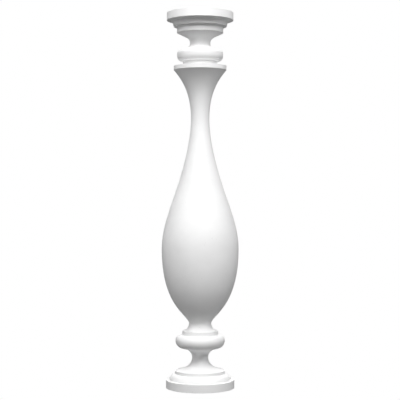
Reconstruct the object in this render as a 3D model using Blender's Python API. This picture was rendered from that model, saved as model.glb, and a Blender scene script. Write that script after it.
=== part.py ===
"""A round stair or balustrade baluster, cast in one piece with plain discs at its foot and its top.

The whole piece is one turned outline swept round the upright Z axis, in metres, standing on Z = 0.
The outline is listed from the foot to the top, one moulding after another.
"""

import math

import bpy
import bmesh
from mathutils import Vector

# Foot disc, and the quarter round and fillet that stand on it
FOOT_RADIUS = 0.0638
FOOT_HEIGHT = 0.0153
QUARTER_ROUND_RADIUS = 0.0575
QUARTER_ROUND_HEIGHT = 0.0111
FOOT_FILLET_RADIUS = 0.0465
FOOT_FILLET_HEIGHT = 0.0061

# Lower neck, hollowed out between the foot fillet and the ring
LOWER_NECK_RADIUS = 0.0150
FOOT_COVE_HEIGHT = 0.0243
FOOT_COVE_SLOPE = 0.13

# Lower ring, round like a cushion, and the fillet on it
RING_RADIUS = 0.0461
RING_UNDERSIDE_HEIGHT = 0.0316
RING_TOP_HEIGHT = 0.0103
RING_FILLET_RADIUS = 0.0335
RING_FILLET_HEIGHT = 0.0076
RING_TOP_LEDGE = 0.0023
RING_COVE_RADIUS = 0.0318
RING_COVE_RISE = 0.0168
RING_COVE_SLOPE = 0.05

# Waist under the belly
WAIST_RADIUS = 0.0208
WAIST_COVE_HEIGHT = 0.0133
WAIST_COVE_LEDGE = 0.0026

# Long vase body: the belly, its shoulder, and the throat above
BELLY_RADIUS = 0.0718
BELLY_RISE = 0.1388
SHOULDER_RADIUS = 0.0471
SHOULDER_RISE = 0.1038
SHOULDER_TAPER = 0.35
THROAT_RADIUS = 0.0171
THROAT_RISE = 0.1398

# Flare above the throat, its thin lip, and the collar that stands on the lip
FLARE_HEIGHT = 0.0912
LIP_RADIUS = 0.0492
LIP_HEIGHT = 0.0076
COLLAR_RADIUS = 0.0322
COLLAR_HEIGHT = 0.0084

# Upper ring and the slope from it to the upper neck
CAP_RING_RADIUS = 0.0429
CAP_RING_UNDERSIDE_HEIGHT = 0.0120
CAP_SLOPE_RADIUS = 0.0381
CAP_SLOPE_RISE = 0.0089
CAP_SLOPE = 0.48
CAP_NECK_RADIUS = 0.0189
CAP_NECK_RISE = 0.0121

# Bell above the upper neck, the fillet on it, and the hollow moulding under the top disc
BELL_HEIGHT = 0.0203
CAP_FILLET_RADIUS = 0.0431
CAP_FILLET_HEIGHT = 0.0118
CAVETTO_FOOT_RADIUS = 0.0495
CAVETTO_RADIUS = 0.0560
CAVETTO_HEIGHT = 0.0114

# Top disc
TOP_RADIUS = 0.0621
TOP_HEIGHT = 0.0143

# Handles of the curves, each as a share of the height or width that its curve spans
FOOT_COVE_REACH = 0.51
FOOT_COVE_NECK_PULL = 0.62
RING_COVE_NECK_PULL = 0.595
RING_COVE_REACH = 0.33
RING_UNDERSIDE_REACH = 0.585
RING_UNDERSIDE_PULL = 0.575
RING_TOP_PULL = 0.42
RING_TOP_REACH = 0.72
WAIST_REACH = 0.52
WAIST_PULL = 0.33
BELLY_LOW_PULL = 0.113
BELLY_WIDE_PULL = 0.78
BELLY_TOP_PULL = 0.32
SHOULDER_LOW_REACH = 0.43
SHOULDER_HIGH_REACH = 0.24
THROAT_LOW_PULL = 0.33
THROAT_HIGH_PULL = 0.57
LIP_REACH_IN = 0.38
LIP_REACH_DOWN = 0.155
CAP_RING_REACH = 0.80
CAP_RING_LOW_PULL = 0.55
CAP_RING_HIGH_PULL = 0.60
CAP_SLOPE_OUTER_REACH = 0.90
CAP_SLOPE_INNER_REACH = 0.47
CAP_NECK_PULL = 0.68
BELL_NECK_PULL = 0.56
BELL_REACH_IN = 0.70
BELL_REACH_DOWN = 0.41
CAVETTO_FOOT_LEAN = 0.30
CAVETTO_FOOT_PULL = 0.45
CAVETTO_TOP_REACH = 0.70

# Fineness of the turned surface
SEGMENTS = 60
LONG_CURVE_STEPS = 7
MIDDLE_CURVE_STEPS = 5
SHORT_CURVE_STEPS = 4
SMALL_CURVE_STEPS = 3
SMOOTH_ANGLE = math.radians(33)

# Matt white plaster
PLASTER_COLOUR = (0.80, 0.80, 0.80, 1.0)
PLASTER_ROUGHNESS = 0.6


def arc(centre, width, height, steps):
    """A quarter round from its widest point up to its top, as points beside the centre."""
    points = []
    for step in range(steps + 1):
        angle = 0.5 * math.pi * step / steps
        points.append(centre + Vector((width * math.cos(angle), height * math.sin(angle))))
    return points


def curve(start, start_handle, end_handle, end, steps):
    """A cubic curve from start to end, without its first point, which the outline already has."""
    points = []
    for step in range(1, steps + 1):
        t = step / steps
        s = 1.0 - t
        points.append(
            start * s**3 + start_handle * (3 * s * s * t) + end_handle * (3 * s * t * t) + end * t**3
        )
    return points


def foot_outline():
    """The foot disc, the quarter round and its fillet."""
    top = FOOT_HEIGHT
    points = [Vector((FOOT_RADIUS, 0.0)), Vector((FOOT_RADIUS, top))]
    width = QUARTER_ROUND_RADIUS - FOOT_FILLET_RADIUS
    points += arc(Vector((FOOT_FILLET_RADIUS, top)), width, QUARTER_ROUND_HEIGHT, SHORT_CURVE_STEPS)
    top += QUARTER_ROUND_HEIGHT + FOOT_FILLET_HEIGHT
    points.append(Vector((FOOT_FILLET_RADIUS, top)))
    return points


def ring_outline(bottom):
    """The hollow above the foot, the round ring and the fillet on it."""
    start = Vector((FOOT_FILLET_RADIUS, bottom))
    neck = Vector((LOWER_NECK_RADIUS, bottom + FOOT_COVE_HEIGHT))
    reach = FOOT_COVE_REACH * (start.x - neck.x)
    points = curve(
        start,
        start + Vector((-reach, reach * FOOT_COVE_SLOPE)),
        neck - Vector((0.0, FOOT_COVE_NECK_PULL * FOOT_COVE_HEIGHT)),
        neck,
        MIDDLE_CURVE_STEPS,
    )
    middle = Vector((RING_COVE_RADIUS, neck.y + RING_COVE_RISE))
    reach = RING_COVE_REACH * (middle.x - neck.x)
    points += curve(
        neck,
        neck + Vector((0.0, RING_COVE_NECK_PULL * RING_COVE_RISE)),
        middle - Vector((reach, reach * RING_COVE_SLOPE)),
        middle,
        SMALL_CURVE_STEPS,
    )
    widest = Vector((RING_RADIUS, neck.y + RING_UNDERSIDE_HEIGHT))
    reach = RING_UNDERSIDE_REACH * (widest.x - middle.x)
    points += curve(
        middle,
        middle + Vector((reach, reach * RING_COVE_SLOPE)),
        widest - Vector((0.0, RING_UNDERSIDE_PULL * (widest.y - middle.y))),
        widest,
        SHORT_CURVE_STEPS,
    )
    seat = Vector((RING_FILLET_RADIUS + RING_TOP_LEDGE, widest.y + RING_TOP_HEIGHT))
    points += curve(
        widest,
        widest + Vector((0.0, RING_TOP_PULL * RING_TOP_HEIGHT)),
        seat + Vector((RING_TOP_REACH * (widest.x - seat.x), 0.0)),
        seat,
        SHORT_CURVE_STEPS,
    )
    points.append(Vector((RING_FILLET_RADIUS, seat.y)))
    points.append(Vector((RING_FILLET_RADIUS, seat.y + RING_FILLET_HEIGHT)))
    return points


def vase_outline(bottom):
    """The waist, the belly and the throat, up to the sharp edge under the lip."""
    seat = Vector((RING_FILLET_RADIUS - WAIST_COVE_LEDGE, bottom))
    waist = Vector((WAIST_RADIUS, bottom + WAIST_COVE_HEIGHT))
    points = [seat]
    points += curve(
        seat,
        seat - Vector((WAIST_REACH * (seat.x - waist.x), 0.0)),
        waist - Vector((0.0, WAIST_PULL * WAIST_COVE_HEIGHT)),
        waist,
        SHORT_CURVE_STEPS,
    )
    widest = Vector((BELLY_RADIUS, waist.y + BELLY_RISE))
    points += curve(
        waist,
        waist + Vector((0.0, BELLY_LOW_PULL * BELLY_RISE)),
        widest - Vector((0.0, BELLY_WIDE_PULL * BELLY_RISE)),
        widest,
        LONG_CURVE_STEPS,
    )
    shoulder = Vector((SHOULDER_RADIUS, widest.y + SHOULDER_RISE))
    reach = SHOULDER_LOW_REACH * SHOULDER_RISE
    points += curve(
        widest,
        widest + Vector((0.0, BELLY_TOP_PULL * SHOULDER_RISE)),
        shoulder + Vector((reach * SHOULDER_TAPER, -reach)),
        shoulder,
        LONG_CURVE_STEPS,
    )
    throat = Vector((THROAT_RADIUS, shoulder.y + THROAT_RISE))
    reach = SHOULDER_HIGH_REACH * THROAT_RISE
    points += curve(
        shoulder,
        shoulder + Vector((-reach * SHOULDER_TAPER, reach)),
        throat - Vector((0.0, THROAT_LOW_PULL * THROAT_RISE)),
        throat,
        MIDDLE_CURVE_STEPS,
    )
    lip = Vector((LIP_RADIUS, throat.y + FLARE_HEIGHT))
    points += curve(
        throat,
        throat + Vector((0.0, THROAT_HIGH_PULL * FLARE_HEIGHT)),
        lip - Vector((LIP_REACH_IN * (lip.x - throat.x), LIP_REACH_DOWN * FLARE_HEIGHT)),
        lip,
        MIDDLE_CURVE_STEPS,
    )
    return points


def cap_ring_outline(bottom):
    """The lip, the collar, the upper ring and its slope, up to the upper neck."""
    top = bottom + LIP_HEIGHT
    seat = Vector((COLLAR_RADIUS, top + COLLAR_HEIGHT))
    points = [Vector((LIP_RADIUS, top)), Vector((COLLAR_RADIUS, top)), seat]
    widest = Vector((CAP_RING_RADIUS, seat.y + CAP_RING_UNDERSIDE_HEIGHT))
    points += curve(
        seat,
        seat + Vector((CAP_RING_REACH * (widest.x - seat.x), 0.0)),
        widest - Vector((0.0, CAP_RING_LOW_PULL * CAP_RING_UNDERSIDE_HEIGHT)),
        widest,
        SMALL_CURVE_STEPS,
    )
    slope = Vector((CAP_SLOPE_RADIUS, widest.y + CAP_SLOPE_RISE))
    reach = CAP_SLOPE_OUTER_REACH * (widest.x - slope.x)
    points += curve(
        widest,
        widest + Vector((0.0, CAP_RING_HIGH_PULL * CAP_SLOPE_RISE)),
        slope + Vector((reach, -reach * CAP_SLOPE)),
        slope,
        SMALL_CURVE_STEPS,
    )
    neck = Vector((CAP_NECK_RADIUS, slope.y + CAP_NECK_RISE))
    reach = CAP_SLOPE_INNER_REACH * (slope.x - neck.x)
    points += curve(
        slope,
        slope + Vector((-reach, reach * CAP_SLOPE)),
        neck - Vector((0.0, CAP_NECK_PULL * CAP_NECK_RISE)),
        neck,
        SMALL_CURVE_STEPS,
    )
    return points


def cap_outline(neck):
    """The bell, its fillet, the hollow moulding and the top disc."""
    rim = Vector((CAP_FILLET_RADIUS, neck.y + BELL_HEIGHT))
    points = curve(
        neck,
        neck + Vector((0.0, BELL_NECK_PULL * BELL_HEIGHT)),
        rim - Vector((BELL_REACH_IN * (rim.x - neck.x), BELL_REACH_DOWN * BELL_HEIGHT)),
        rim,
        MIDDLE_CURVE_STEPS,
    )
    seat = Vector((CAP_FILLET_RADIUS, rim.y + CAP_FILLET_HEIGHT))
    foot = Vector((CAVETTO_FOOT_RADIUS, seat.y))
    points += [seat, foot]
    under = Vector((CAVETTO_RADIUS, foot.y + CAVETTO_HEIGHT))
    pull = CAVETTO_FOOT_PULL * CAVETTO_HEIGHT
    points += curve(
        foot,
        foot + Vector((CAVETTO_FOOT_LEAN * pull, pull)),
        under - Vector((CAVETTO_TOP_REACH * (under.x - foot.x), 0.0)),
        under,
        SMALL_CURVE_STEPS,
    )
    points.append(Vector((TOP_RADIUS, under.y)))
    points.append(Vector((TOP_RADIUS, under.y + TOP_HEIGHT)))
    return points


def outline():
    """The whole outline, as points of radius and height from the foot's edge to the top's edge."""
    points = foot_outline()
    points += ring_outline(points[-1].y)
    points += vase_outline(points[-1].y)
    points += cap_ring_outline(points[-1].y)
    points += cap_outline(points[-1])
    return points


def turned_mesh(name, points):
    """Sweeps the outline once round Z and closes its two flat ends."""
    shape = bmesh.new()
    verts = [shape.verts.new((point.x, 0.0, point.y)) for point in points]
    edges = [shape.edges.new(pair) for pair in zip(verts, verts[1:])]
    bmesh.ops.spin(
        shape,
        geom=verts + edges,
        cent=(0.0, 0.0, 0.0),
        axis=(0.0, 0.0, 1.0),
        angle=2.0 * math.pi,
        steps=SEGMENTS,
        use_merge=True,
    )
    rims = [edge for edge in shape.edges if edge.is_boundary]
    bmesh.ops.holes_fill(shape, edges=rims, sides=SEGMENTS)
    bmesh.ops.recalc_face_normals(shape, faces=shape.faces)
    mesh = bpy.data.meshes.new(name)
    shape.to_mesh(mesh)
    shape.free()
    mesh.shade_smooth()
    mesh.set_sharp_from_angle(angle=SMOOTH_ANGLE)
    return mesh


def plaster():
    """Matt white plaster, the same all through."""
    material = bpy.data.materials.new("plaster")
    material.use_nodes = True
    shader = material.node_tree.nodes["Principled BSDF"]
    shader.inputs["Base Color"].default_value = PLASTER_COLOUR
    shader.inputs["Roughness"].default_value = PLASTER_ROUGHNESS
    shader.inputs["Metallic"].default_value = 0.0
    return material


def main():
    for old in list(bpy.data.objects):
        bpy.data.objects.remove(old, do_unlink=True)
    mesh = turned_mesh("baluster", outline())
    mesh.materials.append(plaster())
    baluster = bpy.data.objects.new("baluster", mesh)
    bpy.context.scene.collection.objects.link(baluster)


main()
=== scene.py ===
import math

import bmesh
import bpy
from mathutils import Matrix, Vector


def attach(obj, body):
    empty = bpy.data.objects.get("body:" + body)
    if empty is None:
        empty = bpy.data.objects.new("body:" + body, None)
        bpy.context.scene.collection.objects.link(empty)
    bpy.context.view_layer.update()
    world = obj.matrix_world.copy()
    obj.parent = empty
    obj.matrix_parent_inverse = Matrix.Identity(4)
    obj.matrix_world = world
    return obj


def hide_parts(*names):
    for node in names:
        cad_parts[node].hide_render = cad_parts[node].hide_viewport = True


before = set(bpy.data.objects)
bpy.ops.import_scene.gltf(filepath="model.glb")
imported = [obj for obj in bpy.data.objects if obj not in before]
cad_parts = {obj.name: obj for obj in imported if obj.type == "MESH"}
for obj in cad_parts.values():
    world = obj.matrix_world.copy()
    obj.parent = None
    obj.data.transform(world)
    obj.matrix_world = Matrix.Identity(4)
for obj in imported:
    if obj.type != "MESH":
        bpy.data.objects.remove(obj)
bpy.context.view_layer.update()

# A white cast plaster baluster, turned in form, with its arrises slightly worn as they leave the mould.
# Lengths are in metres, with the foot's underside at height zero.

# Foot disc, and the quarter round and fillet that stand on it
FOOT_RADIUS = 0.0638
FOOT_HEIGHT = 0.0153
QUARTER_ROUND_RADIUS = 0.0575
QUARTER_ROUND_HEIGHT = 0.0111
FOOT_FILLET_RADIUS = 0.0465
FOOT_FILLET_HEIGHT = 0.0061

# Lower neck, hollowed out between the foot fillet and the ring
LOWER_NECK_RADIUS = 0.0150
FOOT_COVE_HEIGHT = 0.0243
FOOT_COVE_SLOPE = 0.13

# Lower ring, round like a cushion, and the fillet on it
RING_RADIUS = 0.0461
RING_UNDERSIDE_HEIGHT = 0.0316
RING_TOP_HEIGHT = 0.0103
RING_FILLET_RADIUS = 0.0335
RING_FILLET_HEIGHT = 0.0076
RING_TOP_LEDGE = 0.0023
RING_COVE_RADIUS = 0.0318
RING_COVE_RISE = 0.0168
RING_COVE_SLOPE = 0.05

# Waist under the belly
WAIST_RADIUS = 0.0208
WAIST_COVE_HEIGHT = 0.0133
WAIST_COVE_LEDGE = 0.0026

# Long vase body: the belly, its shoulder, and the throat above
BELLY_RADIUS = 0.0718
BELLY_RISE = 0.1388
SHOULDER_RADIUS = 0.0471
SHOULDER_RISE = 0.1038
SHOULDER_TAPER = 0.35
THROAT_RADIUS = 0.0171
THROAT_RISE = 0.1398

# Flare above the throat, its thin lip, and the collar that stands on the lip
FLARE_HEIGHT = 0.0912
LIP_RADIUS = 0.0492
LIP_HEIGHT = 0.0076
COLLAR_RADIUS = 0.0322
COLLAR_HEIGHT = 0.0084

# Upper ring and the slope from it to the upper neck
CAP_RING_RADIUS = 0.0429
CAP_RING_UNDERSIDE_HEIGHT = 0.0120
CAP_SLOPE_RADIUS = 0.0381
CAP_SLOPE_RISE = 0.0089
CAP_SLOPE = 0.48
CAP_NECK_RADIUS = 0.0189
CAP_NECK_RISE = 0.0121

# Bell above the upper neck, the fillet on it, and the hollow moulding under the top disc
BELL_HEIGHT = 0.0203
CAP_FILLET_RADIUS = 0.0431
CAP_FILLET_HEIGHT = 0.0118
CAVETTO_FOOT_RADIUS = 0.0495
CAVETTO_RADIUS = 0.0560
CAVETTO_HEIGHT = 0.0114

# Top disc
TOP_RADIUS = 0.0621
TOP_HEIGHT = 0.0143

# Handles of the curves, each as a share of the height or width that its curve spans
FOOT_COVE_REACH = 0.51
FOOT_COVE_NECK_PULL = 0.62
RING_COVE_NECK_PULL = 0.595
RING_COVE_REACH = 0.33
RING_UNDERSIDE_REACH = 0.585
RING_UNDERSIDE_PULL = 0.575
RING_TOP_PULL = 0.42
RING_TOP_REACH = 0.72
WAIST_REACH = 0.52
WAIST_PULL = 0.33
BELLY_LOW_PULL = 0.113
BELLY_WIDE_PULL = 0.78
BELLY_TOP_PULL = 0.32
SHOULDER_LOW_REACH = 0.43
SHOULDER_HIGH_REACH = 0.24
THROAT_LOW_PULL = 0.33
THROAT_HIGH_PULL = 0.57
LIP_REACH_IN = 0.38
LIP_REACH_DOWN = 0.155
CAP_RING_REACH = 0.80
CAP_RING_LOW_PULL = 0.55
CAP_RING_HIGH_PULL = 0.60
CAP_SLOPE_OUTER_REACH = 0.90
CAP_SLOPE_INNER_REACH = 0.47
CAP_NECK_PULL = 0.68
BELL_NECK_PULL = 0.56
BELL_REACH_IN = 0.70
BELL_REACH_DOWN = 0.41
CAVETTO_FOOT_LEAN = 0.30
CAVETTO_FOOT_PULL = 0.45
CAVETTO_TOP_REACH = 0.70

# Fineness of the turned surface
SEGMENTS = 168
STEP = 0.0030
FEWEST_STRAIGHT_STEPS = 2
FEWEST_CURVE_STEPS = 9

# Worn arrises: how far each is worn back from its corner, how far from the corner the outline's own points
# start again, and the steps in the round
ARRIS = 0.0003
ARRIS_MARGIN = 0.0005
ARRIS_STEPS = 4

# Radius of the small flat round that closes the middle of the underside and of the top face
FACE_CORE = 0.012


def straight(start, end):
    """A straight run of the outline, cut into steps."""
    steps = max(FEWEST_STRAIGHT_STEPS, math.ceil((end - start).length / STEP))
    return [start.lerp(end, step / steps) for step in range(steps + 1)]


def curve(start, start_handle, end_handle, end):
    """A cubic curve of the outline, cut into steps."""
    length = (start_handle - start).length + (end_handle - start_handle).length + (end - end_handle).length
    steps = max(FEWEST_CURVE_STEPS, math.ceil(length / STEP))
    points = []
    for step in range(steps + 1):
        t = step / steps
        s = 1.0 - t
        points.append(
            start * s**3 + start_handle * (3 * s * s * t) + end_handle * (3 * s * t * t) + end * t**3
        )
    return points


def quarter_round(foot, top):
    """A quarter of an ellipse, from its upright foot up and in to its level top."""
    points = []
    for step in range(FEWEST_CURVE_STEPS + 1):
        angle = 0.5 * math.pi * step / FEWEST_CURVE_STEPS
        points.append(Vector((
            top.x + (foot.x - top.x) * math.cos(angle),
            foot.y + (top.y - foot.y) * math.sin(angle),
        )))
    return points


def foot_runs():
    """The underside, the foot disc, the quarter round and its fillet."""
    edge = Vector((FOOT_RADIUS, 0.0))
    rim = Vector((FOOT_RADIUS, FOOT_HEIGHT))
    ledge = Vector((QUARTER_ROUND_RADIUS, FOOT_HEIGHT))
    seat = Vector((FOOT_FILLET_RADIUS, FOOT_HEIGHT + QUARTER_ROUND_HEIGHT))
    top = seat + Vector((0.0, FOOT_FILLET_HEIGHT))
    return [
        straight(Vector((FACE_CORE, 0.0)), edge),
        straight(edge, rim),
        straight(rim, ledge),
        quarter_round(ledge, seat),
        straight(seat, top),
    ]


def ring_runs(start):
    """The hollow above the foot, the round ring and the fillet on it."""
    neck = Vector((LOWER_NECK_RADIUS, start.y + FOOT_COVE_HEIGHT))
    reach = FOOT_COVE_REACH * (start.x - neck.x)
    hollow = curve(
        start,
        start + Vector((-reach, reach * FOOT_COVE_SLOPE)),
        neck - Vector((0.0, FOOT_COVE_NECK_PULL * FOOT_COVE_HEIGHT)),
        neck,
    )
    middle = Vector((RING_COVE_RADIUS, neck.y + RING_COVE_RISE))
    reach = RING_COVE_REACH * (middle.x - neck.x)
    hollow += curve(
        neck,
        neck + Vector((0.0, RING_COVE_NECK_PULL * RING_COVE_RISE)),
        middle - Vector((reach, reach * RING_COVE_SLOPE)),
        middle,
    )[1:]
    widest = Vector((RING_RADIUS, neck.y + RING_UNDERSIDE_HEIGHT))
    reach = RING_UNDERSIDE_REACH * (widest.x - middle.x)
    hollow += curve(
        middle,
        middle + Vector((reach, reach * RING_COVE_SLOPE)),
        widest - Vector((0.0, RING_UNDERSIDE_PULL * (widest.y - middle.y))),
        widest,
    )[1:]
    seat = Vector((RING_FILLET_RADIUS + RING_TOP_LEDGE, widest.y + RING_TOP_HEIGHT))
    hollow += curve(
        widest,
        widest + Vector((0.0, RING_TOP_PULL * RING_TOP_HEIGHT)),
        seat + Vector((RING_TOP_REACH * (widest.x - seat.x), 0.0)),
        seat,
    )[1:]
    corner = Vector((RING_FILLET_RADIUS, seat.y))
    hollow += straight(seat, corner)[1:]
    return [hollow, straight(corner, corner + Vector((0.0, RING_FILLET_HEIGHT)))]


def vase_runs(start):
    """The waist, the belly and the throat, up to the sharp edge under the lip."""
    seat = start - Vector((WAIST_COVE_LEDGE, 0.0))
    waist = Vector((WAIST_RADIUS, start.y + WAIST_COVE_HEIGHT))
    body = straight(start, seat)
    body += curve(
        seat,
        seat - Vector((WAIST_REACH * (seat.x - waist.x), 0.0)),
        waist - Vector((0.0, WAIST_PULL * WAIST_COVE_HEIGHT)),
        waist,
    )[1:]
    widest = Vector((BELLY_RADIUS, waist.y + BELLY_RISE))
    body += curve(
        waist,
        waist + Vector((0.0, BELLY_LOW_PULL * BELLY_RISE)),
        widest - Vector((0.0, BELLY_WIDE_PULL * BELLY_RISE)),
        widest,
    )[1:]
    shoulder = Vector((SHOULDER_RADIUS, widest.y + SHOULDER_RISE))
    reach = SHOULDER_LOW_REACH * SHOULDER_RISE
    body += curve(
        widest,
        widest + Vector((0.0, BELLY_TOP_PULL * SHOULDER_RISE)),
        shoulder + Vector((reach * SHOULDER_TAPER, -reach)),
        shoulder,
    )[1:]
    throat = Vector((THROAT_RADIUS, shoulder.y + THROAT_RISE))
    reach = SHOULDER_HIGH_REACH * THROAT_RISE
    body += curve(
        shoulder,
        shoulder + Vector((-reach * SHOULDER_TAPER, reach)),
        throat - Vector((0.0, THROAT_LOW_PULL * THROAT_RISE)),
        throat,
    )[1:]
    lip = Vector((LIP_RADIUS, throat.y + FLARE_HEIGHT))
    body += curve(
        throat,
        throat + Vector((0.0, THROAT_HIGH_PULL * FLARE_HEIGHT)),
        lip - Vector((LIP_REACH_IN * (lip.x - throat.x), LIP_REACH_DOWN * FLARE_HEIGHT)),
        lip,
    )[1:]
    return [body]


def cap_ring_runs(start):
    """The lip, the collar, the upper ring and its slope, up to the upper neck."""
    lip = start + Vector((0.0, LIP_HEIGHT))
    collar = Vector((COLLAR_RADIUS, lip.y))
    seat = collar + Vector((0.0, COLLAR_HEIGHT))
    widest = Vector((CAP_RING_RADIUS, seat.y + CAP_RING_UNDERSIDE_HEIGHT))
    ring = curve(
        seat,
        seat + Vector((CAP_RING_REACH * (widest.x - seat.x), 0.0)),
        widest - Vector((0.0, CAP_RING_LOW_PULL * CAP_RING_UNDERSIDE_HEIGHT)),
        widest,
    )
    slope = Vector((CAP_SLOPE_RADIUS, widest.y + CAP_SLOPE_RISE))
    reach = CAP_SLOPE_OUTER_REACH * (widest.x - slope.x)
    ring += curve(
        widest,
        widest + Vector((0.0, CAP_RING_HIGH_PULL * CAP_SLOPE_RISE)),
        slope + Vector((reach, -reach * CAP_SLOPE)),
        slope,
    )[1:]
    neck = Vector((CAP_NECK_RADIUS, slope.y + CAP_NECK_RISE))
    reach = CAP_SLOPE_INNER_REACH * (slope.x - neck.x)
    ring += curve(
        slope,
        slope + Vector((-reach, reach * CAP_SLOPE)),
        neck - Vector((0.0, CAP_NECK_PULL * CAP_NECK_RISE)),
        neck,
    )[1:]
    rim = Vector((CAP_FILLET_RADIUS, neck.y + BELL_HEIGHT))
    ring += curve(
        neck,
        neck + Vector((0.0, BELL_NECK_PULL * BELL_HEIGHT)),
        rim - Vector((BELL_REACH_IN * (rim.x - neck.x), BELL_REACH_DOWN * BELL_HEIGHT)),
        rim,
    )[1:]
    return [straight(start, lip), straight(lip, collar), straight(collar, seat), ring]


def cap_runs(rim):
    """The fillet on the bell, the hollow moulding, the top disc and its level face."""
    seat = rim + Vector((0.0, CAP_FILLET_HEIGHT))
    foot = Vector((CAVETTO_FOOT_RADIUS, seat.y))
    under = Vector((CAVETTO_RADIUS, foot.y + CAVETTO_HEIGHT))
    pull = CAVETTO_FOOT_PULL * CAVETTO_HEIGHT
    cavetto = curve(
        foot,
        foot + Vector((CAVETTO_FOOT_LEAN * pull, pull)),
        under - Vector((CAVETTO_TOP_REACH * (under.x - foot.x), 0.0)),
        under,
    )
    edge = Vector((TOP_RADIUS, under.y))
    cavetto += straight(under, edge)[1:]
    top = edge + Vector((0.0, TOP_HEIGHT))
    return [
        straight(rim, seat),
        straight(seat, foot),
        cavetto,
        straight(edge, top),
        straight(top, Vector((FACE_CORE, top.y))),
    ]


def shortened(points, cut):
    """A run of the outline with the given length cut off its start."""
    for index in range(len(points) - 1):
        step = points[index + 1] - points[index]
        if step.length > cut:
            return [points[index] + step * (cut / step.length)] + points[index + 1:]
        cut -= step.length
    return points[-1:]


def rounded_off(runs):
    """Joins the runs of the outline, with a small round at each corner between them."""
    outline = runs[0]
    for run in runs[1:]:
        corner = run[0]
        back = outline[::-1]
        before = shortened(back, ARRIS)[0]
        after = shortened(run, ARRIS)[0]
        outline = shortened(back, ARRIS_MARGIN)[::-1]
        for step in range(ARRIS_STEPS + 1):
            t = step / ARRIS_STEPS
            s = 1.0 - t
            outline.append(before * s * s + corner * (2 * s * t) + after * t * t)
        outline += shortened(run, ARRIS_MARGIN)
    return outline


def worn_outline():
    """The whole outline, its corners rounded off as a mould and a rub with fine paper leave them."""
    runs = foot_runs()
    runs += ring_runs(runs[-1][-1])
    runs += vase_runs(runs[-1][-1])
    runs += cap_ring_runs(runs[-1][-1])
    runs += cap_runs(runs[-1][-1])
    return rounded_off(runs)


def turned_baluster():
    """Turns the outline once round the upright axis and closes its two level faces."""
    shape = bmesh.new()
    verts = [shape.verts.new((point.x, 0.0, point.y)) for point in worn_outline()]
    edges = [shape.edges.new(pair) for pair in zip(verts, verts[1:])]
    bmesh.ops.spin(
        shape,
        geom=verts + edges,
        cent=(0.0, 0.0, 0.0),
        axis=(0.0, 0.0, 1.0),
        angle=2.0 * math.pi,
        steps=SEGMENTS,
        use_merge=True,
    )
    rims = [edge for edge in shape.edges if edge.is_boundary]
    bmesh.ops.holes_fill(shape, edges=rims, sides=SEGMENTS)
    bmesh.ops.recalc_face_normals(shape, faces=shape.faces)
    mesh = bpy.data.meshes.new("turned_baluster")
    shape.to_mesh(mesh)
    shape.free()
    mesh.shade_smooth()
    baluster = bpy.data.objects.new("turned_baluster", mesh)
    bpy.context.scene.collection.objects.link(baluster)
    return baluster


def linear(code):
    """An sRGB hex colour as linear red, green, blue and alpha."""
    channels = []
    for start in (0, 2, 4):
        value = int(code[start:start + 2], 16) / 255.0
        channels.append(value / 12.92 if value <= 0.04045 else ((value + 0.055) / 1.055) ** 2.4)
    return (*channels, 1.0)


def add(tree, kind, settings=None, values=None, links=None):
    """Adds one node to a tree, with its settings, its socket values and the sockets that feed it."""
    node = tree.nodes.new(kind)
    for name, setting in (settings or {}).items():
        setattr(node, name, setting)
    for socket, value in (values or {}).items():
        node.inputs[socket].default_value = value
    for socket, source in (links or {}).items():
        tree.links.new(source, node.inputs[socket])
    return node


# Cast gypsum plaster, poured in a mould and rubbed down with fine paper. It is a chalky white with almost no
# gloss and no grain. Close to, it has faint clouds where it dried unevenly, a low swell from the rubbing, and
# a few pinholes where air was caught against the mould.
PLASTER_LIGHT = "EFEFEF"
PLASTER_DARK = "EAEAEA"
PLASTER_IOR = 1.5
PLASTER_SMOOTHEST = 0.75
PLASTER_ROUGHEST = 0.85

# Clouds: their width, their finer parts, and the levels of the noise that are darkest and lightest
CLOUD_WIDTH = 0.045
CLOUD_DETAIL = 4.0
CLOUD_BREAKUP = 0.55
CLOUD_DARKEST = 0.3
CLOUD_LIGHTEST = 0.7

# Swell from the rubbing
SWELL_WIDTH = 0.016
SWELL_DEPTH = 0.00002

# Marks of the paper are about 0.2 mm wide. They are drawn 4 mm wide, so that they just show in a picture of
# the whole piece.
TOOTH_WIDTH = 0.004
TOOTH_DEPTH = 0.000008

# Finer parts of the swell and of the marks alike
RELIEF_DETAIL = 2.0
RELIEF_BREAKUP = 0.5

# Pinholes in their real size, with the share of the radius that is their flat bottom, and the spacing of the
# bubbles all through the plaster that they are cut from
PINHOLE_RADIUS = 0.0005
PINHOLE_BOTTOM = 0.5
PINHOLE_DEPTH = 0.0003
# Grey that the pinholes are darkened to as painted shade, standing in for the shade that falls inside them
PINHOLE_PAINTED_SHADE = "B8B8B8"
BUBBLE_SPACING = 0.009


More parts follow.
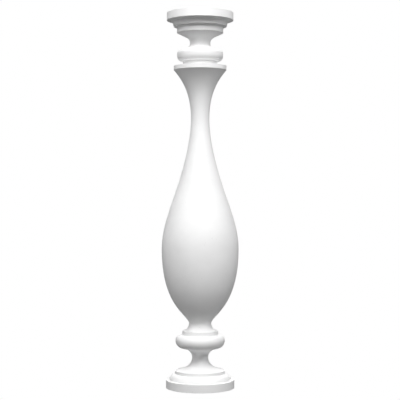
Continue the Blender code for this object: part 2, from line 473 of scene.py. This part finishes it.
def cast_plaster():
    """The plaster as a material: its clouds, its chalkiness, its pinholes and its relief."""
    material = bpy.data.materials.new("cast_plaster")
    material.use_nodes = True
    tree = material.node_tree
    shader = tree.nodes["Principled BSDF"]
    shader.inputs["IOR"].default_value = PLASTER_IOR
    place = add(tree, "ShaderNodeTexCoord").outputs["Object"]
    clouds = add(
        tree, "ShaderNodeTexNoise",
        values={"Scale": 1.0 / CLOUD_WIDTH, "Detail": CLOUD_DETAIL, "Roughness": CLOUD_BREAKUP},
        links={"Vector": place},
    )
    dryness = add(
        tree, "ShaderNodeMapRange",
        values={"From Min": CLOUD_DARKEST, "From Max": CLOUD_LIGHTEST},
        links={"Value": clouds.outputs["Fac"]},
    )
    tone = add(
        tree, "ShaderNodeMix",
        settings={"data_type": "RGBA"},
        values={"A": linear(PLASTER_DARK), "B": linear(PLASTER_LIGHT)},
        links={"Factor": dryness.outputs["Result"]},
    )
    chalk = add(
        tree, "ShaderNodeMapRange",
        values={"To Min": PLASTER_SMOOTHEST, "To Max": PLASTER_ROUGHEST},
        links={"Value": dryness.outputs["Result"]},
    )
    tree.links.new(chalk.outputs["Result"], shader.inputs["Roughness"])
    bubbles = add(
        tree, "ShaderNodeTexVoronoi",
        values={"Scale": 1.0 / BUBBLE_SPACING},
        links={"Vector": place},
    )
    radius = PINHOLE_RADIUS / BUBBLE_SPACING
    pinhole = add(
        tree, "ShaderNodeMapRange",
        settings={"interpolation_type": "SMOOTHSTEP"},
        values={"From Min": PINHOLE_BOTTOM * radius, "From Max": radius, "To Min": 1.0, "To Max": 0.0},
        links={"Value": bubbles.outputs["Distance"]},
    )
    # Painted shade: the colour turns towards a darker grey inside each pinhole, where shade would fall
    colour = add(
        tree, "ShaderNodeMix",
        settings={"data_type": "RGBA"},
        values={"B": linear(PINHOLE_PAINTED_SHADE)},
        links={"Factor": pinhole.outputs["Result"], "A": tone.outputs["Result"]},
    )
    tree.links.new(colour.outputs["Result"], shader.inputs["Base Color"])
    height = add(
        tree, "ShaderNodeMath",
        settings={"operation": "MULTIPLY"},
        values={1: -PINHOLE_DEPTH},
        links={0: pinhole.outputs["Result"]},
    )
    for width, depth in ((SWELL_WIDTH, SWELL_DEPTH), (TOOTH_WIDTH, TOOTH_DEPTH)):
        waves = add(
            tree, "ShaderNodeTexNoise",
            values={"Scale": 1.0 / width, "Detail": RELIEF_DETAIL, "Roughness": RELIEF_BREAKUP},
            links={"Vector": place},
        )
        height = add(
            tree, "ShaderNodeMath",
            settings={"operation": "MULTIPLY_ADD"},
            values={1: depth},
            links={0: waves.outputs["Fac"], 2: height.outputs["Value"]},
        )
    # The depths are in metres already, so the relief stands at its full height.
    relief = add(
        tree, "ShaderNodeBump",
        values={"Strength": 1.0, "Distance": 1.0},
        links={"Height": height.outputs["Value"]},
    )
    tree.links.new(relief.outputs["Normal"], shader.inputs["Normal"])
    return material


# White studio sweep, lit until it shows no shade
SWEEP_WHITE = "FFFFFF"
SWEEP_STRENGTH = 1.0
SWEEP_SIZE = 8.0


def white_sweep():
    """The ground under the piece, plain white to the camera. It throws no light or shadow on the piece."""
    shape = bmesh.new()
    bmesh.ops.create_grid(shape, x_segments=1, y_segments=1, size=0.5 * SWEEP_SIZE)
    mesh = bpy.data.meshes.new("white_sweep")
    shape.to_mesh(mesh)
    shape.free()
    material = bpy.data.materials.new("lit_sweep")
    material.use_nodes = True
    tree = material.node_tree
    glow = add(tree, "ShaderNodeEmission", values={"Color": linear(SWEEP_WHITE), "Strength": SWEEP_STRENGTH})
    tree.links.new(glow.outputs["Emission"], tree.nodes["Material Output"].inputs["Surface"])
    mesh.materials.append(material)
    sweep = bpy.data.objects.new("white_sweep", mesh)
    bpy.context.scene.collection.objects.link(sweep)
    sweep.visible_diffuse = False
    sweep.visible_glossy = False
    sweep.visible_shadow = False


# Studio lamps, each a round soft box: its turn from the camera's side and its height in degrees, its distance
# and width in metres, and its strength as the light that reaches the piece
LAMPS = {
    "main": (0.0, 45.0, 3.5, 2.0, 0.64),
    "high": (0.0, 60.0, 2.0, 1.0, 0.257),
    "right": (50.0, 35.0, 2.5, 1.2, 0.284),
    "left": (-50.0, 35.0, 2.5, 1.2, 0.214),
    "high_right": (50.0, 60.0, 2.5, 1.2, 0.125),
    "high_left": (-50.0, 60.0, 2.5, 1.2, 0.130),
    "low_right": (110.0, 5.0, 2.5, 1.2, 0.045),
    "low_left": (-110.0, 5.0, 2.5, 1.2, 0.045),
    "back": (180.0, 35.0, 2.5, 1.2, 0.45),
}

# Height on the piece that the lamps are aimed at, and the watts that give a strength of one at one metre
LAMP_TARGET = 0.45
WATTS_PER_STRENGTH = 10.0

# Light from the white room, as the height in degrees where each band starts and its strength: the ground near
# the piece, the lit sweep further off, the dim walls and the ceiling
ROOM_BANDS = ((-90.0, 0.135), (-15.0, 0.677), (0.0, 0.02), (40.0, 0.10))


def lamps():
    """Sets the lamps round the piece and turns each one to face it."""
    target = Vector((0.0, 0.0, LAMP_TARGET))
    for name, (turn, height, distance, width, strength) in LAMPS.items():
        light = bpy.data.lights.new(name, "AREA")
        light.shape = "DISK"
        light.size = width
        light.energy = WATTS_PER_STRENGTH * distance * distance * strength
        lamp = bpy.data.objects.new(name, light)
        turn = math.radians(turn)
        height = math.radians(height)
        level = math.cos(height)
        away = Vector((math.sin(turn) * level, -math.cos(turn) * level, math.sin(height)))
        lamp.location = target + away * distance
        lamp.rotation_euler = (-away).to_track_quat("-Z", "Y").to_euler()
        bpy.context.scene.collection.objects.link(lamp)


def white_room():
    """Even white light in bands by height. The camera sees plain white."""
    world = bpy.data.worlds.new("white_room")
    bpy.context.scene.world = world
    world.use_nodes = True
    tree = world.node_tree
    background = tree.nodes["Background"]
    background.inputs["Color"].default_value = linear(SWEEP_WHITE)
    direction = add(tree, "ShaderNodeTexCoord")
    height = add(tree, "ShaderNodeSeparateXYZ", links={"Vector": direction.outputs["Generated"]})
    ground_strength = ROOM_BANDS[0][1]
    strength = ground_strength
    band = None
    for angle, band_strength in ROOM_BANDS[1:]:
        above = add(
            tree, "ShaderNodeMath",
            settings={"operation": "GREATER_THAN"},
            values={1: math.sin(math.radians(angle))},
            links={0: height.outputs["Z"]},
        )
        below = {2: band.outputs["Value"]} if band else {}
        band = add(
            tree, "ShaderNodeMath",
            settings={"operation": "MULTIPLY_ADD"},
            values={1: band_strength - strength, 2: ground_strength},
            links={0: above.outputs["Value"], **below},
        )
        strength = band_strength
    path = add(tree, "ShaderNodeLightPath")
    shown = add(
        tree, "ShaderNodeMath",
        settings={"operation": "MAXIMUM"},
        links={0: band.outputs["Value"], 1: path.outputs["Is Camera Ray"]},
    )
    tree.links.new(shown.outputs["Value"], background.inputs["Strength"])


# Long lens, level with the middle of the piece. The lens and the sensor are in millimetres, and the picture's
# width and the shift of its frame in pixels.
CAMERA_PLACE = Vector((0.0, -2.057, 0.362))
CAMERA_AIM = Vector((0.0, 0.0, 0.350))
CAMERA_LENS = 99.0
CAMERA_SENSOR = 36.0
PICTURE_WIDTH = 400
PICTURE_SHIFT = Vector((-0.15, 0.35))


def camera():
    """Sets up the lens and makes it the scene's camera."""
    lens = bpy.data.cameras.new("camera")
    lens.sensor_width = CAMERA_SENSOR
    lens.lens = CAMERA_LENS
    lens.shift_x = PICTURE_SHIFT.x / PICTURE_WIDTH
    lens.shift_y = PICTURE_SHIFT.y / PICTURE_WIDTH
    view = bpy.data.objects.new("camera", lens)
    view.location = CAMERA_PLACE
    view.rotation_euler = (CAMERA_AIM - CAMERA_PLACE).to_track_quat("-Z", "Y").to_euler()
    bpy.context.scene.collection.objects.link(view)
    bpy.context.scene.camera = view


baluster = turned_baluster()
baluster.data.materials.append(cast_plaster())
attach(baluster, "root")
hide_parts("baluster")
white_sweep()
lamps()
white_room()
camera()
bpy.context.scene.view_settings.view_transform = "Standard"
